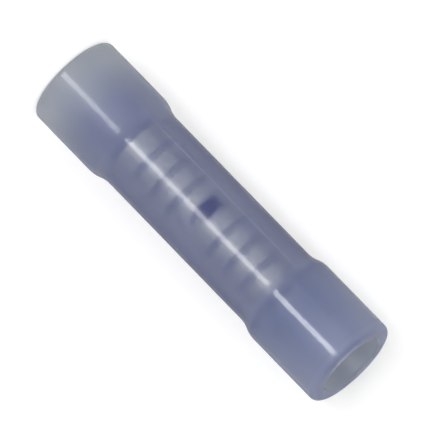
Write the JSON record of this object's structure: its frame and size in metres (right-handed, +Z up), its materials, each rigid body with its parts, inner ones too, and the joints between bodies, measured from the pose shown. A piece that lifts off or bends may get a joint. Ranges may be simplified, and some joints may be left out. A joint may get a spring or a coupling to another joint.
{
  "type": "butt splice connector",
  "caption": "Translucent blue nylon butt splice connector: a tube with expanded ends over a tin-plated crimp barrel with a wire stop, for joining wires end to end.",
  "frame": {"origin": "centre of the lower rim, on the plane the connector stands on", "axes": "+Z up along the connector's axis, -Y towards the side of the barrel that has the wire stop"},
  "size_m": [0.0066, 0.0066, 0.0265],
  "materials": {
    "blue_nylon": "glossy, translucent",
    "tinned_copper": "satin"
  },
  "bodies": {
    "root": {"insulator_sleeve": "blue_nylon", "crimp_barrel": "tinned_copper"}
  },
  "joints": []
}
